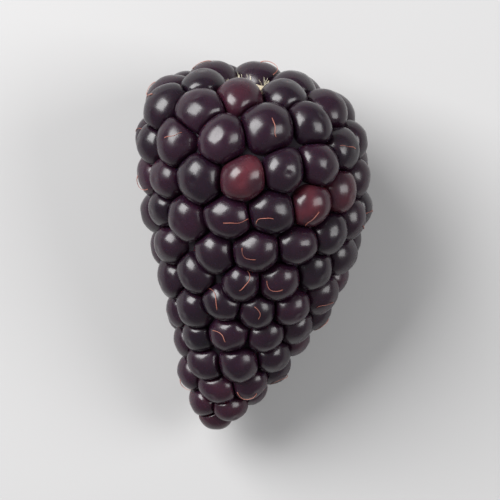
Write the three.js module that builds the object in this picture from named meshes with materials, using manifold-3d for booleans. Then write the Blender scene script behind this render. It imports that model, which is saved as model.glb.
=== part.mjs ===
// A ripe bramble berry as picked, lying on its side with its tip towards -Y.
// Millimetres, +Z up. The origin is on the surface it lies on, under the middle of its box.
import * as THREE from 'three';
import { mergeVertices } from 'three/addons/utils/BufferGeometryUtils.js';
import Module from 'manifold-3d';

const wasm = await Module();
wasm.setup();

// The whole berry
const berryLength = 40;        // base to tip, over the drupelets
const berryWidth = 25.4;       // across the fullest row of drupelets
const shoulderPower = 0.5;     // below 1 puts the fullest row nearer the base than the tip
const slimness = 0.64;         // larger makes the sides slimmer and the tip sharper
const sideBow = 2.6;           // how far the middle bows out towards +X

// The drupelets, the small round fruits that make up the berry
const basePitch = 5.15;        // spacing of neighbours at the base
const tipPitch = 3.4;          // and at the tip
const baseRing = 6;            // drupelets in the ring round the plug
const lanes = 3;               // rows that climb side by side in one spiral
const rowSpacing = 0.93;       // distance between rows, in pitches
const drupeletWidth = 1.12;    // in pitches, so that neighbours press together
const crownRise = 0.6;         // height of a crown above its drupelet's middle, in pitches
const sizeVariation = 0.1;     // largest random change of a drupelet's size
const riseVariation = 0.25;    // largest random change of a crown's height
const tipSize = 0.9;           // size of the last drupelet, at the tip
const tipSink = 0.4;           // and how far it is drawn in
const randomSeed = 15;
const seatDepth = 0.36;        // how far under the crowns the spacing is measured, in pitches
const elbowRoom = 1.08;        // drupelets nearer than this many pitches push each other apart
const crowding = 0.8;          // and one that stays nearer than this is left out
const settleRounds = 30;
const bedDepth = 0.48;         // how far under the crowns the flesh between them lies, in pitches

// The plug, the pale stalk end that the drupelets grow on. Its broken end shows at the base
const plugRadius = 2.9;
const plugSink = 2.0;          // depth of its broken end under the crowns
const plugLength = 4.0;
const plugEdge = 0.7;          // how far the broken end rounds off
const pithDimple = 0.6;        // depth of the hollow in its middle
const fitGap = 0.3;            // clearance between the plug and the flesh round it

// How the berry lies
const noseDown = 14.5;         // degrees that the tip dips
const startAngle = 220;        // degrees round the berry at which the rows start
const restSquash = 0.4;        // how far the lowest drupelets are pressed flat

// Fineness of the surfaces
const outlineSteps = 400;
const drupeletSides = 8;
const drupeletLatitudes = [0, 32, 60, 95, 180];  // degrees down from the crown
const bedSteps = 14;
const roundSides = 20;

const degrees = Math.PI / 180;

// A repeatable stream of random numbers from -1 to 1
function randomStream(seed) {
  let state = seed;
  return () => {
    state = (state + 0x6d2b79f5) | 0;
    let mixed = Math.imul(state ^ (state >>> 15), state | 1);
    mixed ^= mixed + Math.imul(mixed ^ (mixed >>> 7), mixed | 61);
    return ((mixed ^ (mixed >>> 14)) >>> 0) / 2147483648 - 1;
  };
}

// The outline over the crowns, from the middle of the base to the tip. axial is the distance from
// the base, walked the distance along the outline, and (outAxial, outRadius) the outward normal.
function walkOutline() {
  const points = [];
  for (let i = 0; i <= outlineSteps; i++) {
    const share = (1 - Math.cos((Math.PI * i) / outlineSteps)) / 2;
    const bulge = Math.max(Math.sin(Math.PI * share ** shoulderPower), 0) ** slimness;
    points.push({ axial: berryLength * share, radius: (berryWidth / 2) * bulge, walked: 0 });
  }
  points.forEach((point, i) => {
    const before = points[Math.max(i - 1, 0)];
    const after = points[Math.min(i + 1, outlineSteps)];
    const run = after.axial - before.axial;
    const rise = after.radius - before.radius;
    point.outAxial = -rise / Math.hypot(run, rise);
    point.outRadius = run / Math.hypot(run, rise);
    point.walked = before.walked + Math.hypot(point.axial - before.axial, point.radius - before.radius);
  });
  return points;
}

const outline = walkOutline();
const outlineLength = outline[outlineSteps].walked;
const ringWalk = outline.find((point) => point.radius > plugRadius + 0.45 * basePitch).walked;
const lastWalk = outlineLength - 0.75 * tipPitch;

// The spot on the outline at a walked distance
function spotAt(walked) {
  const next = Math.max(outline.findIndex((point) => point.walked >= walked), 1);
  const a = outline[next - 1];
  const b = outline[next];
  const share = (walked - a.walked) / (b.walked - a.walked);
  const mix = (key) => a[key] + (b[key] - a[key]) * share;
  const axial = mix('axial');
  return {
    axial,
    radius: mix('radius'),
    outAxial: mix('outAxial'),
    outRadius: mix('outRadius'),
    pitch: basePitch + ((tipPitch - basePitch) * axial) / berryLength,
  };
}

// A point or direction of the straight berry from its distance along the axis, radius and angle
function inBerry(axial, radius, angle) {
  return new THREE.Vector3(radius * Math.cos(angle), -axial, radius * Math.sin(angle));
}

// The middle of the berry bows out sideways
const bowAt = (axial) => sideBow * Math.sin((Math.PI * axial) / berryLength);

// Where a seat is on the straight berry, a little under the crowns, and which ways it can slide
function standing(seat) {
  const spot = spotAt(seat.walked);
  const depth = seatDepth * spot.pitch;
  const reach = Math.max(spot.radius - depth * spot.outRadius, 0.3 * spot.pitch);
  return {
    reach,
    pitch: spot.pitch * seat.size,
    point: inBerry(spot.axial - depth * spot.outAxial, reach, seat.angle),
    along: inBerry(spot.outRadius, -spot.outAxial, seat.angle),
    around: inBerry(0, 1, seat.angle + Math.PI / 2),
  };
}

// Seats of the drupelets: a ring round the plug, one at the tip, and between them rows that climb
// side by side in a spiral
function spiralOfRows() {
  const random = randomStream(randomSeed);
  const start = startAngle * degrees;
  const seats = [];
  for (let i = 0; i < baseRing; i++) {
    const angle = start + (2 * Math.PI * i) / baseRing;
    seats.push({ walked: ringWalk, angle, size: 1, rise: 0, fixed: true });
  }
  seats.push({ walked: outlineLength, angle: 0, size: tipSize, rise: -tipSink, fixed: true });
  for (let lane = 0; lane < lanes; lane++) {
    let angle = start + (2 * Math.PI * lane) / lanes;
    let walked = ringWalk + 0.75 * rowSpacing * basePitch;
    while (walked < lastWalk) {
      const size = 1 + sizeVariation * random();
      const seat = { walked, angle, size, rise: riseVariation * random(), fixed: false };
      const stand = standing(seat);
      const turn = stand.pitch / stand.reach;
      seats.push(seat);
      angle += turn;
      walked += (lanes * rowSpacing * (stand.pitch / size) * turn) / (2 * Math.PI);
    }
  }
  return seats;
}

function slide(seat, stand, push) {
  if (seat.fixed) return;
  seat.walked = Math.min(Math.max(seat.walked + push.dot(stand.along), ringWalk), lastWalk);
  seat.angle += push.dot(stand.around) / stand.reach;
}

// Seats that are too close push each other apart over the surface, which also closes the gaps
function pushApart(seats) {
  for (let round = 0; round < settleRounds; round++) {
    const stands = seats.map(standing);
    for (let i = 0; i < seats.length; i++) {
      for (let j = i + 1; j < seats.length; j++) {
        const wanted = (elbowRoom * (stands[i].pitch + stands[j].pitch)) / 2;
        const push = stands[j].point.clone().sub(stands[i].point);
        const apart = push.length();
        if (apart > wanted) continue;
        push.multiplyScalar((0.25 * (wanted - apart)) / apart);
        slide(seats[j], stands[j], push);
        slide(seats[i], stands[i], push.negate());
      }
    }
  }
}

// Near the tip the rows hold more seats than there is room for, so a seat that stays crowded goes
function settled(seats) {
  pushApart(seats);
  const kept = [];
  const stands = [];
  for (const seat of seats) {
    const stand = standing(seat);
    const clear = stands.every((other) => {
      return stand.point.distanceTo(other.point) > (crowding * (stand.pitch + other.pitch)) / 2;
    });
    if (!clear) continue;
    kept.push(seat);
    stands.push(stand);
  }
  pushApart(kept);
  return kept;
}

function solidOf(geometry) {
  geometry.deleteAttribute('normal');
  geometry.deleteAttribute('uv');
  const merged = mergeVertices(geometry, 1e-4);
  return new wasm.Manifold(new wasm.Mesh({
    numProp: 3,
    vertProperties: merged.getAttribute('position').array,
    triVerts: new Uint32Array(merged.index.array),
  }));
}

function geometryOf(solid) {
  const { vertProperties, triVerts } = solid.getMesh();
  const geometry = new THREE.BufferGeometry();
  geometry.setAttribute('position', new THREE.BufferAttribute(vertProperties, 3));
  geometry.setIndex(new THREE.BufferAttribute(triVerts, 1));
  return geometry;
}

// One drupelet: an egg shape that stands on its seat with its crown outwards
function drupeletSolid(seat) {
  const spot = spotAt(seat.walked);
  const pitch = spot.pitch * seat.size;
  const halfWidth = (drupeletWidth * pitch) / 2;
  const rise = crownRise * pitch;
  const depth = rise - seat.rise;
  const axial = spot.axial - depth * spot.outAxial;
  const middle = inBerry(axial, spot.radius - depth * spot.outRadius, seat.angle);
  const outward = inBerry(spot.outAxial, spot.outRadius, seat.angle).normalize();
  const profile = drupeletLatitudes.map((latitude) => {
    const angle = latitude * degrees;
    return new THREE.Vector2(halfWidth * Math.sin(angle), rise * Math.cos(angle));
  });
  const geometry = new THREE.LatheGeometry(profile.reverse(), drupeletSides);
  geometry.applyQuaternion(new THREE.Quaternion().setFromUnitVectors(new THREE.Vector3(0, 1, 0), outward));
  geometry.translate(middle.x + bowAt(axial), middle.y, middle.z);
  return solidOf(geometry);
}

// Turns a profile of [radius, axial] points round the bowed axis, from the tip's side to the base's
function turned(profile) {
  const points = profile.map(([radius, axial]) => new THREE.Vector2(radius, -axial));
  const geometry = new THREE.LatheGeometry(points, roundSides);
  const position = geometry.getAttribute('position');
  for (let i = 0; i < position.count; i++) {
    position.setX(i, position.getX(i) + bowAt(-position.getY(i)));
  }
  return solidOf(geometry);
}

// The flesh that the drupelets stand out of
function bedSolid() {
  const profile = [];
  for (let i = 0; i <= bedSteps; i++) {
    const spot = spotAt((outlineLength * (bedSteps - i)) / bedSteps);
    const depth = bedDepth * spot.pitch;
    const radius = Math.max(spot.radius - depth * spot.outRadius, 0);
    profile.push([i % bedSteps ? radius : 0, spot.axial - depth * spot.outAxial]);
  }
  return turned(profile);
}

// A round stub with a dimple in its broken end. growth makes it larger all round
function plugSolid(growth) {
  const radius = plugRadius + growth;
  const face = plugSink - growth;
  const foot = plugSink + plugLength + growth;
  return turned([
    [0, foot],
    [radius * 0.8, foot],
    [radius, foot - plugEdge],
    [radius, face + plugEdge],
    [radius * 0.8, face + plugEdge * 0.2],
    [radius * 0.4, face],
    [0, face + pithDimple],
  ]);
}

// Everything below the surface that the berry lies on
function groundSolid() {
  const geometry = new THREE.BoxGeometry(2 * berryLength, 2 * berryLength, berryLength);
  geometry.translate(0, 0, -berryLength / 2);
  return solidOf(geometry);
}

function meshOf(geometry, name, color, roughness) {
  geometry.computeVertexNormals();
  const mesh = new THREE.Mesh(geometry, new THREE.MeshStandardMaterial({ color, roughness, metalness: 0 }));
  mesh.name = name;
  return mesh;
}

const seats = settled(spiralOfRows());
const fused = wasm.Manifold.union([bedSolid(), ...seats.map(drupeletSolid)]);
const flesh = geometryOf(fused.subtract(plugSolid(fitGap)));
const plug = geometryOf(plugSolid(0));

// Dips the tip, then brings the middle of the box over the origin and the lowest crowns under it
flesh.rotateX(noseDown * degrees);
plug.rotateX(noseDown * degrees);
flesh.computeBoundingBox();
const shift = flesh.boundingBox.getCenter(new THREE.Vector3()).negate();
shift.z = -flesh.boundingBox.min.z - restSquash;
flesh.translate(shift.x, shift.y, shift.z);
plug.translate(shift.x, shift.y, shift.z);
const rested = geometryOf(solidOf(flesh).subtract(groundSolid()));

const berry = new THREE.Group();
berry.add(meshOf(rested, 'drupelets', 0x2a1620, 0.3));
berry.add(meshOf(plug, 'receptacle', 0xd9caa4, 0.7));

export default berry;
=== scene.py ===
# A ripe bramble berry on a pale surface, seen from straight above
import math
from bisect import bisect_left

import bmesh
import bpy
from mathutils import Matrix, Vector, noise


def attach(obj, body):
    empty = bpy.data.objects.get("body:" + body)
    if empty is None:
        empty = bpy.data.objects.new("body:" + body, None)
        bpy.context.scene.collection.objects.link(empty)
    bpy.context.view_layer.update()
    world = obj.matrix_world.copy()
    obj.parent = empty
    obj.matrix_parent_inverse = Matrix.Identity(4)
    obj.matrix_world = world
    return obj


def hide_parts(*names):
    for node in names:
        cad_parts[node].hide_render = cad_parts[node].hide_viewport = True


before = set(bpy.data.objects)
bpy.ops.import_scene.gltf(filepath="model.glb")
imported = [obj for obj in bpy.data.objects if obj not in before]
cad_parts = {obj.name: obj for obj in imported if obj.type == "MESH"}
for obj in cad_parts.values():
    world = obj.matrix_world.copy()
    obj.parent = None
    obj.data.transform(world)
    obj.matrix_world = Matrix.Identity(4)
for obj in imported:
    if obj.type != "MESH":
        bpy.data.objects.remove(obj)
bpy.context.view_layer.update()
mm = 0.001

# the berry that the part describes, in millimetres
berry = {
    "length": 40, "width": 25.4, "shoulderPower": 0.5, "slimness": 0.64, "sideBow": 2.6,
    "basePitch": 5.15, "tipPitch": 3.4, "outlineSteps": 400,
    "noseDown": 14.5, "shift": (-2.0702, 18.6464, 15.0962),
}


def randomStream(seed):
    state = seed
    while True:
        state = (state + 0x6d2b79f5) & 0xffffffff
        mixed = ((state ^ (state >> 15)) * (state | 1)) & 0xffffffff
        mixed ^= (mixed + (mixed ^ (mixed >> 7)) * (mixed | 61)) & 0xffffffff
        yield (mixed ^ (mixed >> 14)) / 2147483648 - 1


# the outline over the crowns, from the middle of the base to the tip
def walkOutline():
    steps = berry["outlineSteps"]
    points = []
    for i in range(steps + 1):
        share = (1 - math.cos(math.pi * i / steps)) / 2
        bulge = max(math.sin(math.pi * share ** berry["shoulderPower"]), 0) ** berry["slimness"]
        points.append({"axial": berry["length"] * share, "radius": berry["width"] / 2 * bulge, "walked": 0})
    for i, point in enumerate(points):
        before = points[max(i - 1, 0)]
        after = points[min(i + 1, steps)]
        run = after["axial"] - before["axial"]
        rise = after["radius"] - before["radius"]
        point["outAxial"] = -rise / math.hypot(run, rise)
        point["outRadius"] = run / math.hypot(run, rise)
        step = math.hypot(point["axial"] - before["axial"], point["radius"] - before["radius"])
        point["walked"] = before["walked"] + step
    return points


outline = walkOutline()
walks = [point["walked"] for point in outline]
outlineLength = walks[-1]


def spotAt(walked):
    after = min(max(bisect_left(walks, walked), 1), len(walks) - 1)
    a, b = outline[after - 1], outline[after]
    share = (walked - a["walked"]) / (b["walked"] - a["walked"])
    spot = {key: a[key] + (b[key] - a[key]) * share for key in ("axial", "radius", "outAxial", "outRadius")}
    finer = (berry["tipPitch"] - berry["basePitch"]) * spot["axial"] / berry["length"]
    spot["pitch"] = berry["basePitch"] + finer
    return spot


def inBerry(axial, radius, angle):
    return (radius * math.cos(angle), -axial, radius * math.sin(angle))


def bowAt(axial):
    return berry["sideBow"] * math.sin(math.pi * axial / berry["length"])


def dot(a, b):
    return a[0] * b[0] + a[1] * b[1] + a[2] * b[2]


# the pale stalk end in the base, which the drupelets and the bed leave room for
plug = {
    "radius": 2.9, "sink": 2.0, "length": 4.0, "gap": 0.3, "edge": 0.7, "edgeDrop": 0.2,
    "dimple": 0.6, "dimpleWidth": 0.4, "faceWidth": 0.8, "sides": 64, "steps": 6,
    "tear": 0.16, "tearDepth": 0.5, "coarseTear": 3.2, "fineTear": 8, "fineShare": 0.6,
}

# where the drupelets sit: a ring round the stalk end, one at the tip, rows between
rows = {
    "baseRing": 6, "lanes": 3, "rowSpacing": 0.93, "sizeVariation": 0.1, "riseVariation": 0.25,
    "tipSize": 0.9, "tipSink": 0.4, "seed": 15, "startAngle": 220, "seatDepth": 0.36,
    "ringRoom": 0.45, "tipRoom": 0.75, "firstRow": 0.75, "leastReach": 0.3,
    "elbowRoom": 1.08, "crowding": 0.8, "rounds": 30, "pushShare": 0.25,
}
ringRadius = plug["radius"] + rows["ringRoom"] * berry["basePitch"]
ringWalk = next(point["walked"] for point in outline if point["radius"] > ringRadius)
lastWalk = outlineLength - rows["tipRoom"] * berry["tipPitch"]


def standing(seat):
    spot = spotAt(seat["walked"])
    depth = rows["seatDepth"] * spot["pitch"]
    reach = max(spot["radius"] - depth * spot["outRadius"], rows["leastReach"] * spot["pitch"])
    angle = seat["angle"]
    return {
        "reach": reach,
        "pitch": spot["pitch"] * seat["size"],
        "point": inBerry(spot["axial"] - depth * spot["outAxial"], reach, angle),
        "along": inBerry(spot["outRadius"], -spot["outAxial"], angle),
        "around": inBerry(0, 1, angle + math.pi / 2),
    }


def spiralOfRows():
    chance = randomStream(rows["seed"])
    start = math.radians(rows["startAngle"])
    seats = []
    for i in range(rows["baseRing"]):
        angle = start + 2 * math.pi * i / rows["baseRing"]
        seats.append({"walked": ringWalk, "angle": angle, "size": 1, "rise": 0, "fixed": True})
    seats.append({
        "walked": outlineLength, "angle": 0, "size": rows["tipSize"], "rise": -rows["tipSink"],
        "fixed": True,
    })
    for lane in range(rows["lanes"]):
        angle = start + 2 * math.pi * lane / rows["lanes"]
        walked = ringWalk + rows["firstRow"] * rows["rowSpacing"] * berry["basePitch"]
        while walked < lastWalk:
            size = 1 + rows["sizeVariation"] * next(chance)
            rise = rows["riseVariation"] * next(chance)
            seat = {"walked": walked, "angle": angle, "size": size, "rise": rise, "fixed": False}
            stand = standing(seat)
            turn = stand["pitch"] / stand["reach"]
            seats.append(seat)
            angle += turn
            walked += rows["lanes"] * rows["rowSpacing"] * (stand["pitch"] / size) * turn / (2 * math.pi)
    return seats


def slide(seat, stand, push):
    if seat["fixed"]:
        return
    seat["walked"] = min(max(seat["walked"] + dot(push, stand["along"]), ringWalk), lastWalk)
    seat["angle"] += dot(push, stand["around"]) / stand["reach"]


def pushApart(seats):
    for _ in range(rows["rounds"]):
        stands = [standing(seat) for seat in seats]
        for i, a in enumerate(stands):
            for j in range(i + 1, len(stands)):
                b = stands[j]
                gap = [q - p for p, q in zip(a["point"], b["point"])]
                apart = math.sqrt(dot(gap, gap))
                wanted = rows["elbowRoom"] * (a["pitch"] + b["pitch"]) / 2
                if apart > wanted:
                    continue
                share = rows["pushShare"] * (wanted - apart) / apart
                slide(seats[j], b, [c * share for c in gap])
                slide(seats[i], a, [-c * share for c in gap])


def settled(seats):
    pushApart(seats)
    kept, stands = [], []
    for seat in seats:
        stand = standing(seat)
        clear = all(math.dist(stand["point"], other["point"])
                    > rows["crowding"] * (stand["pitch"] + other["pitch"]) / 2 for other in stands)
        if clear:
            kept.append(seat)
            stands.append(stand)
    pushApart(kept)
    return kept


layDown = Matrix.Rotation(math.radians(berry["noseDown"]), 3, "X")


def toFrame(point):
    return layDown @ Vector(point) + Vector(berry["shift"])


# drupelets: eggs with their crowns outwards, flattened against their neighbours
drupelet = {
    "width": 1.12, "crownRise": 0.6, "wallsWithin": 1.1, "gap": 0.012, "press": 14, "fullness": 1.05,
    "oval": 0.06, "unevenness": 0.042, "unevenScale": 1.1, "scarDepth": 0.09, "scarWidth": 0.15,
    "ripe": 0.06, "halfRipe": 0.22, "halfRipeAbove": 0.86, "tipRed": 0.3, "tipFrom": 0.8,
    "blush": 0.45, "blushScale": 1.3, "crownDensity": 0.4, "fineness": 4, "seed": 5,
}
# the less ripe ones on the upper side: across, along, and how red
redSpots = [(0.3, 9.0, 0.5), (4.3, 5.1, 0.52), (8.2, 8.0, 0.46), (-4.9, 17.4, 0.36)]


def drupeletAt(seat):
    spot = spotAt(seat["walked"])
    pitch = spot["pitch"] * seat["size"]
    rise = drupelet["crownRise"] * pitch
    depth = rise - seat["rise"]
    axial = spot["axial"] - depth * spot["outAxial"]
    x, y, z = inBerry(axial, spot["radius"] - depth * spot["outRadius"], seat["angle"])
    out = Vector(inBerry(spot["outAxial"], spot["outRadius"], seat["angle"])).normalized()
    return {
        "middle": toFrame((x + bowAt(axial), y, z)), "outward": layDown @ out,
        "halfWidth": drupelet["width"] * pitch / 2, "rise": rise, "share": spot["axial"] / berry["length"],
    }


drupelets = [drupeletAt(seat) for seat in settled(spiralOfRows())]
print("drupelets", len(drupelets))

# flat walls where two drupelets press together
for a in drupelets:
    a["walls"] = []
    for b in drupelets:
        apart = b["middle"] - a["middle"]
        if a is b or apart.length > drupelet["wallsWithin"] * (a["halfWidth"] + b["halfWidth"]):
            continue
        wall = (apart.length_squared + a["halfWidth"] ** 2 - b["halfWidth"] ** 2) / (2 * apart.length)
        a["walls"].append((apart.normalized(), wall - drupelet["gap"]))

# each has its own ripeness, unevenness and long way
chance = randomStream(drupelet["seed"])
for one in drupelets:
    nearTip = max(0, one["share"] - drupelet["tipFrom"]) / (1 - drupelet["tipFrom"])
    halfRipe = next(chance) > drupelet["halfRipeAbove"]
    own = drupelet["halfRipe"] if halfRipe else drupelet["ripe"] * (1 + next(chance))
    one["red"] = drupelet["tipRed"] * nearTip + own
    one["offset"] = 40 * next(chance)  # its own place in the noise
    swing = math.pi * next(chance)
    one["turn"] = one["outward"].to_track_quat("Z", "Y").to_matrix()
    one["longWay"] = one["turn"] @ Vector((math.cos(swing), math.sin(swing), 0))
for x, y, red in redSpots:
    upper = [one for one in drupelets if one["outward"].z > 0.4]  # not those on the sides
    nearest = min(upper, key=lambda one: (one["middle"].xy - Vector((x, y))).length)
    nearest["red"] = red


# how far the skin of a drupelet is from its middle in one direction
def reachOf(one, direction):
    press = drupelet["press"]
    rising = direction.dot(one["outward"])
    wide = one["halfWidth"] * drupelet["fullness"]
    level = max(1 - rising ** 2, 1e-6)
    oval = 1 + drupelet["oval"] * (2 * direction.dot(one["longWay"]) ** 2 / level - 1)
    total = ((rising / one["rise"]) ** 2 + (1 - rising ** 2) / (wide * oval) ** 2) ** (press / 2)
    for normal, wall in one["walls"]:
        facing = direction.dot(normal)
        if facing > 0.05:  # the others are behind or far off to the side
            total += (facing / wall) ** press
    tilt = math.acos(max(-1, min(1, rising)))
    scar = drupelet["scarDepth"] * math.exp(-(tilt / drupelet["scarWidth"]) ** 2)
    ripple = noise.noise(direction * drupelet["unevenScale"] + Vector((one["offset"], 0, 0)))
    return total ** (-1 / press) * (1 + drupelet["unevenness"] * ripple) - scar


def finish(name, bm, material, node=None):
    bmesh.ops.recalc_face_normals(bm, faces=bm.faces)
    mesh = bpy.data.meshes.new(name)
    bm.to_mesh(mesh)
    bm.free()
    mesh.shade_smooth()
    mesh.materials.append(material)
    piece = bpy.data.objects.new(name, mesh)
    bpy.context.collection.objects.link(piece)
    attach(piece, "root")
    if node:
        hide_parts(node)
    print(name, sum(len(p.vertices) - 2 for p in mesh.polygons), "triangles")


def newMaterial(name, roughness):
    material = bpy.data.materials.new(name)
    material.use_nodes = True
    shader = material.node_tree.nodes["Principled BSDF"]
    shader.inputs["Roughness"].default_value = roughness
    return material, material.node_tree.nodes, material.node_tree.links, shader


def addNoise(nodes, links, scale, detail):
    place = nodes.new("ShaderNodeTexCoord")
    texture = nodes.new("ShaderNodeTexNoise")
    texture.inputs["Scale"].default_value = scale
    texture.inputs["Detail"].default_value = detail
    links.new(place.outputs["Object"], texture.inputs["Vector"])
    return texture


def addRamp(nodes, links, source, stops):
    ramp = nodes.new("ShaderNodeValToRGB")
    ramp.color_ramp.elements[0].position = stops[0][0]
    ramp.color_ramp.elements[0].color = (*stops[0][1], 1)
    ramp.color_ramp.elements[1].position = stops[-1][0]
    ramp.color_ramp.elements[1].color = (*stops[-1][1], 1)
    for position, color in stops[1:-1]:
        ramp.color_ramp.elements.new(position).color = (*color, 1)
    links.new(source, ramp.inputs["Fac"])
    return ramp


def addRange(nodes, links, source, taken, given):
    spread = nodes.new("ShaderNodeMapRange")
    spread.inputs["From Min"].default_value, spread.inputs["From Max"].default_value = taken
    spread.inputs["To Min"].default_value, spread.inputs["To Max"].default_value = given
    links.new(source, spread.inputs["Value"])
    return spread


def addBump(nodes, links, source, shader, strength, distance):
    bump = nodes.new("ShaderNodeBump")
    bump.inputs["Strength"].default_value = strength
    bump.inputs["Distance"].default_value = distance
    links.new(source, bump.inputs["Height"])
    links.new(bump.outputs["Normal"], shader.inputs["Normal"])


# dark juicy skin, redder where the drupelet's attribute says so; the bed between the drupelets is rough and
# painted near-black as shade in the grooves
# the bed's attribute of -1 falls below every stop, so the bed takes the darkest colour as painted shade
# between the drupelets
skinLook = {
    "stops": [(0.05, (0.005, 0.0022, 0.0056)), (0.3, (0.017, 0.0042, 0.0118)),
              (0.62, (0.034, 0.0078, 0.0135)), (1.0, (0.11, 0.0175, 0.024))],
    "mottleScale": 420, "mottle": 0.22, "sheenScale": 900, "roughness": (0.2, 0.34), "bedRoughness": 0.7,
    "grainScale": 1700, "grain": 0.22, "grainHeight": 0.00006,
    "sockets": {
        "Subsurface Weight": 0.12, "Subsurface Radius": (0.8, 0.2, 0.15), "Subsurface Scale": 0.0014,
        "Coat Weight": 0.1, "Coat Roughness": 0.1, "IOR": 1.4},
}
skin, nodes, links, shader = newMaterial("berrySkin", skinLook["roughness"][0])
shadeAndRedness = nodes.new("ShaderNodeAttribute")
shadeAndRedness.attribute_name = "rednessAndBedShade"
mottle = addNoise(nodes, links, skinLook["mottleScale"], 3)
patchy = nodes.new("ShaderNodeMath")
patchy.operation = "MULTIPLY_ADD"
patchy.inputs[1].default_value = skinLook["mottle"]
links.new(mottle.outputs["Fac"], patchy.inputs[0])
links.new(shadeAndRedness.outputs["Fac"], patchy.inputs[2])
ramp = addRamp(nodes, links, patchy.outputs[0], skinLook["stops"])
links.new(ramp.outputs["Color"], shader.inputs["Base Color"])
sheen = addNoise(nodes, links, skinLook["sheenScale"], 2)
spread = addRange(nodes, links, sheen.outputs["Fac"], (0.3, 0.7), skinLook["roughness"])
inGroove = addRange(nodes, links, shadeAndRedness.outputs["Fac"], (-1, -0.5), (skinLook["bedRoughness"], 0))
rougher = nodes.new("ShaderNodeMath")
links.new(spread.outputs["Result"], rougher.inputs[0])
links.new(inGroove.outputs["Result"], rougher.inputs[1])
links.new(rougher.outputs[0], shader.inputs["Roughness"])
for socket, value in skinLook["sockets"].items():
    shader.inputs[socket].default_value = value
grain = addNoise(nodes, links, skinLook["grainScale"], 4)
addBump(nodes, links, grain.outputs["Fac"], shader, skinLook["grain"], skinLook["grainHeight"])

# pale plant fibre for the broken stalk end
pithLook = {
    "stops": [(0.3, (0.3, 0.21, 0.12)), (0.5, (0.5, 0.43, 0.3)), (0.75, (0.64, 0.59, 0.46))],
    "roughness": 0.8, "strandScale": 1500, "strands": 0.5, "strandHeight": 0.0001,
}
pith, nodes, links, shader = newMaterial("pith", pithLook["roughness"])
strands = addNoise(nodes, links, pithLook["strandScale"], 4)
ramp = addRamp(nodes, links, strands.outputs["Fac"], pithLook["stops"])
links.new(ramp.outputs["Color"], shader.inputs["Base Color"])
addBump(nodes, links, strands.outputs["Fac"], shader, pithLook["strands"], pithLook["strandHeight"])

# dried threads, rust with paler pink stretches
threadLook = {
    "stops": [(0.35, (0.13, 0.037, 0.026)), (0.55, (0.29, 0.092, 0.066)), (0.8, (0.44, 0.2, 0.145))],
    "roughness": 0.55, "fadeScale": 600,
}
dried, nodes, links, shader = newMaterial("driedThread", threadLook["roughness"])
fade = addNoise(nodes, links, threadLook["fadeScale"], 2)
ramp = addRamp(nodes, links, fade.outputs["Fac"], threadLook["stops"])
links.new(ramp.outputs["Color"], shader.inputs["Base Color"])

# cream hairs
hairLook = {"color": (0.75, 0.69, 0.52, 1), "roughness": 0.7}
hairy, nodes, links, shader = newMaterial("downHair", hairLook["roughness"])
shader.inputs["Base Color"].default_value = hairLook["color"]
print("skin, pith, thread and hair materials made")


def addDrupelet(bm, one, rednessAndBedShade):
    verts = bmesh.ops.create_icosphere(bm, subdivisions=drupelet["fineness"], radius=1)["verts"]
    blush = Vector((one["offset"], 7, 0))
    for vert in verts:
        x, y, z = vert.co.normalized()
        tilt = math.acos(max(-1, min(1, z)))
        tilt -= drupelet["crownDensity"] * math.sin(tilt)  # more faces near the crown
        flat = math.hypot(x, y)
        side = math.sin(tilt) / flat if flat > 1e-6 else 0
        direction = one["turn"] @ Vector((x * side, y * side, math.cos(tilt)))
        place = one["middle"] + direction * reachOf(one, direction)
        place.z = max(place.z, 0)
        vert.co = place * mm
        patch = noise.noise(direction * drupelet["blushScale"] + blush)
        vert[rednessAndBedShade] = one["red"] * (1 + drupelet["blush"] * patch)


# the flesh that the drupelets stand out of, with a pocket for the stalk end
bed = {"depth": 0.48, "steps": 36, "sides": 48}


def addBed(bm):
    steps = bed["steps"]
    pocket = plug["radius"] + plug["gap"]
    foot = plug["sink"] + plug["length"] + plug["gap"]
    profile = [(0, foot), (pocket, foot)]
    for i in range(1, steps + 1):
        spot = spotAt(outlineLength * i / steps)
        depth = bed["depth"] * spot["pitch"]
        radius = max(spot["radius"] - depth * spot["outRadius"], 0) if i < steps else 0
        axial = spot["axial"] - depth * spot["outAxial"]
        if radius > pocket or axial > berry["length"] / 2:
            profile.append((radius, axial))
    turnProfile(bm, profile, bed["sides"])


def turnProfile(bm, profile, sides):
    verts = [bm.verts.new((radius, -axial, 0)) for radius, axial in profile]
    edges = [bm.edges.new(pair) for pair in zip(verts, verts[1:])]
    bmesh.ops.spin(bm, geom=verts + edges, angle=2 * math.pi, steps=sides, axis=(0, 1, 0),
                   cent=(0, 0, 0), use_merge=True)
    bmesh.ops.remove_doubles(bm, verts=bm.verts, dist=0.001)


bm = bmesh.new()
rednessAndBedShade = bm.verts.layers.float.new("rednessAndBedShade")
addBed(bm)
for vert in bm.verts:
    place = toFrame((vert.co.x + bowAt(-vert.co.y), vert.co.y, vert.co.z))
    place.z = max(place.z, 0)
    vert.co = place * mm
    vert[rednessAndBedShade] = -1  # marks the bed, which the skin's material paints near-black as shade between the drupelets
for one in drupelets:
    addDrupelet(bm, one, rednessAndBedShade)
finish("fineDrupelets", bm, skin, "drupelets")


# the broken stalk end, with torn fibres over its face
def plugProfile():
    radius, face, foot = plug["radius"], plug["sink"], plug["sink"] + plug["length"]
    dimple, flat = radius * plug["dimpleWidth"], radius * plug["faceWidth"]
    corners = [
        (0, face + plug["dimple"]), (dimple, face), (flat, face + plug["edge"] * plug["edgeDrop"]),
        (radius, face + plug["edge"]), (radius, foot - plug["edge"]), (flat, foot), (0, foot)]
    profile = []
    for (r0, a0), (r1, a1) in zip(corners, corners[1:]):
        for i in range(plug["steps"]):
            share = i / plug["steps"]
            profile.append((r0 + (r1 - r0) * share, a0 + (a1 - a0) * share))
    return profile + [corners[-1]]


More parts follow.
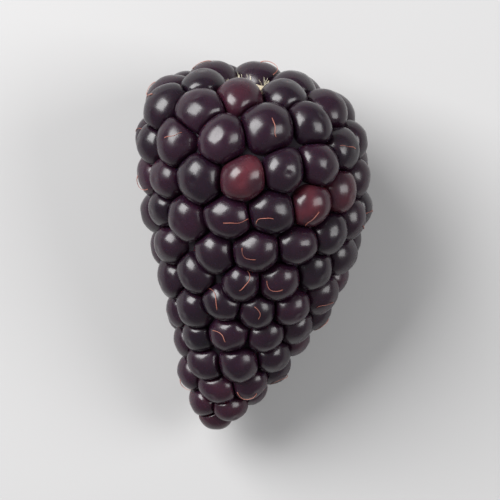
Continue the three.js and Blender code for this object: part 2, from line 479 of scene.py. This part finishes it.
bm = bmesh.new()
turnProfile(bm, plugProfile(), plug["sides"])
for vert in bm.verts:
    x, y, z = vert.co
    onFace = max(0, 1 - max(0, -y - plug["sink"] - plug["dimple"]) / plug["tearDepth"])
    coarse = noise.noise(Vector((x, 0, z)) * plug["coarseTear"])
    fine = noise.noise(Vector((x * plug["fineTear"], 3, z * plug["fineTear"])))
    y += plug["tear"] * onFace * (coarse + plug["fineShare"] * fine)
    vert.co = toFrame((x + bowAt(-y), y, z)) * mm
finish("brokenStalkEnd", bm, pith, "receptacle")


# a thin tapering thread through a row of points, from rings bridged together
thread = {"taper": 0.55, "knobFrom": 0.8}


def addThread(bm, points, thickness, sides, knob=0):
    rings = []
    for i, point in enumerate(points):
        share = i / (len(points) - 1)
        ahead = points[min(i + 1, len(points) - 1)] - points[max(i - 1, 0)]
        turn = ahead.to_track_quat("Z", "Y").to_matrix().to_4x4()
        tip = knob * max(0, share - thread["knobFrom"])
        radius = thickness * (1 - thread["taper"] * share + tip) / 2
        ring = bmesh.ops.create_circle(
            bm, cap_ends=i in (0, len(points) - 1), segments=sides, radius=radius * mm,
            matrix=Matrix.Translation(point * mm) @ turn)
        rings.append({edge for vert in ring["verts"] for edge in vert.link_edges})
    for a, b in zip(rings, rings[1:]):
        bmesh.ops.bridge_loops(bm, edges=list(a | b))


# the dried threads that some crowns still carry, bent down over the drupelet
styles = {
    "share": 0.31, "lowest": -0.75, "length": (1.2, 2.6), "thickness": 0.09, "knob": 2.5,
    "startTilt": 0.03, "clearance": 0.02, "lift": 0.26, "curl": 1.9, "crinkle": 0.07, "waves": 8,
    "points": 13, "sides": 5, "seed": 23,
}
shortest, longest = styles["length"]
chance = randomStream(styles["seed"])
bm = bmesh.new()
for one in drupelets:
    lucky, swing, long, lift, curl = (next(chance) / 2 + 0.5 for _ in range(5))
    if lucky > styles["share"] or one["outward"].z < styles["lowest"]:
        continue
    length = shortest + (longest - shortest) * long
    points = []
    for i in range(styles["points"]):
        share = i / (styles["points"] - 1)
        tilt = styles["startTilt"] + share * length / one["halfWidth"]
        angle = 2 * math.pi * swing + (curl - 0.5) * styles["curl"] * share ** 2
        angle += styles["crinkle"] * math.sin(styles["waves"] * share + 40 * lift) * (1 - 0.4 * share)
        across = Vector((math.cos(angle), math.sin(angle), 0))
        direction = one["turn"] @ (across * math.sin(tilt) + Vector((0, 0, math.cos(tilt))))
        raised = styles["clearance"] + styles["lift"] * lift * math.sin(math.pi * share) ** 0.8
        points.append(one["middle"] + direction * (reachOf(one, direction) + raised))
    addThread(bm, points, styles["thickness"], styles["sides"], styles["knob"])
finish("driedStyles", bm, dried)

# fine down that stands round the stalk end
down = {
    "count": 80, "length": (0.7, 1.3), "thickness": 0.045, "rootDepth": 0.5, "rim": 0.9, "rimSpread": 0.14,
    "lean": 0.5, "sway": 0.12, "points": 4, "sides": 4, "seed": 41,
}
chance = randomStream(down["seed"])
shortest, longest = down["length"]
bm = bmesh.new()
for _ in range(down["count"]):
    swing, out, long, lean, side = (next(chance) for _ in range(5))
    angle = math.pi * swing
    radius = plug["radius"] * (down["rim"] + down["rimSpread"] * out)
    length = (shortest + longest) / 2 + (longest - shortest) / 2 * long
    points = []
    for i in range(down["points"]):
        share = i / (down["points"] - 1)
        axial = plug["sink"] + down["rootDepth"] - length * share
        leaning = radius + down["lean"] * lean * share ** 2
        x, y, z = inBerry(axial, leaning, angle + down["sway"] * side * share)
        points.append(toFrame((x + bowAt(axial), y, z)))
    addThread(bm, points, down["thickness"], down["sides"])
finish("stalkDown", bm, hairy)

# pale surface, two softboxes and a soft sky
stage = {
    "floorSize": 1.2, "floorColor": (0.36, 0.356, 0.356, 1), "floorRoughness": 0.95,
    "sky": (0.95, 0.97, 1.0, 1), "skyStrength": 0.32, "aim": (0, 0, 0.012),
    "softboxes": [  # name, place, size in metres and power in watts
        ("leftSoftbox", (-0.22, 0.14, 0.25), (0.26, 0.24), 2.9),
        ("rightSoftbox", (0.28, 0.05, 0.26), (0.2, 0.24), 1.2)],
}
bm = bmesh.new()
bmesh.ops.create_grid(bm, x_segments=1, y_segments=1, size=stage["floorSize"] / 2)
mesh = bpy.data.meshes.new("floor")
bm.to_mesh(mesh)
bm.free()
floor = bpy.data.objects.new("floor", mesh)
bpy.context.collection.objects.link(floor)
paleFloor, nodes, links, shader = newMaterial("paleFloor", stage["floorRoughness"])
shader.inputs["Base Color"].default_value = stage["floorColor"]
mesh.materials.append(paleFloor)

world = bpy.data.worlds.new("softSky")
world.use_nodes = True
world.node_tree.nodes["Background"].inputs["Color"].default_value = stage["sky"]
world.node_tree.nodes["Background"].inputs["Strength"].default_value = stage["skyStrength"]
bpy.context.scene.world = world


def addSoftbox(name, place, size, power):
    light = bpy.data.lights.new(name, "AREA")
    light.shape = "RECTANGLE"
    light.size, light.size_y = size
    light.energy = power
    lamp = bpy.data.objects.new(name, light)
    lamp.location = place
    lamp.rotation_euler = (Vector(stage["aim"]) - Vector(place)).to_track_quat("-Z", "Y").to_euler()
    bpy.context.collection.objects.link(lamp)


for softbox in stage["softboxes"]:
    addSoftbox(*softbox)
bpy.context.scene.view_settings.view_transform = "Standard"
print("floor, sky and two softboxes set")

# straight above, turned as the berry lies
view = {"height": 0.45, "lens": 300, "turn": 5.2, "middle": (0.0003, -0.0003)}
camera = bpy.data.objects.new("camera", bpy.data.cameras.new("camera"))
camera.data.lens = view["lens"]
camera.data.clip_start = 0.01
camera.location = (*view["middle"], view["height"])
camera.rotation_euler = (0, 0, math.radians(view["turn"]))
bpy.context.collection.objects.link(camera)
bpy.context.scene.camera = camera
print("camera set")
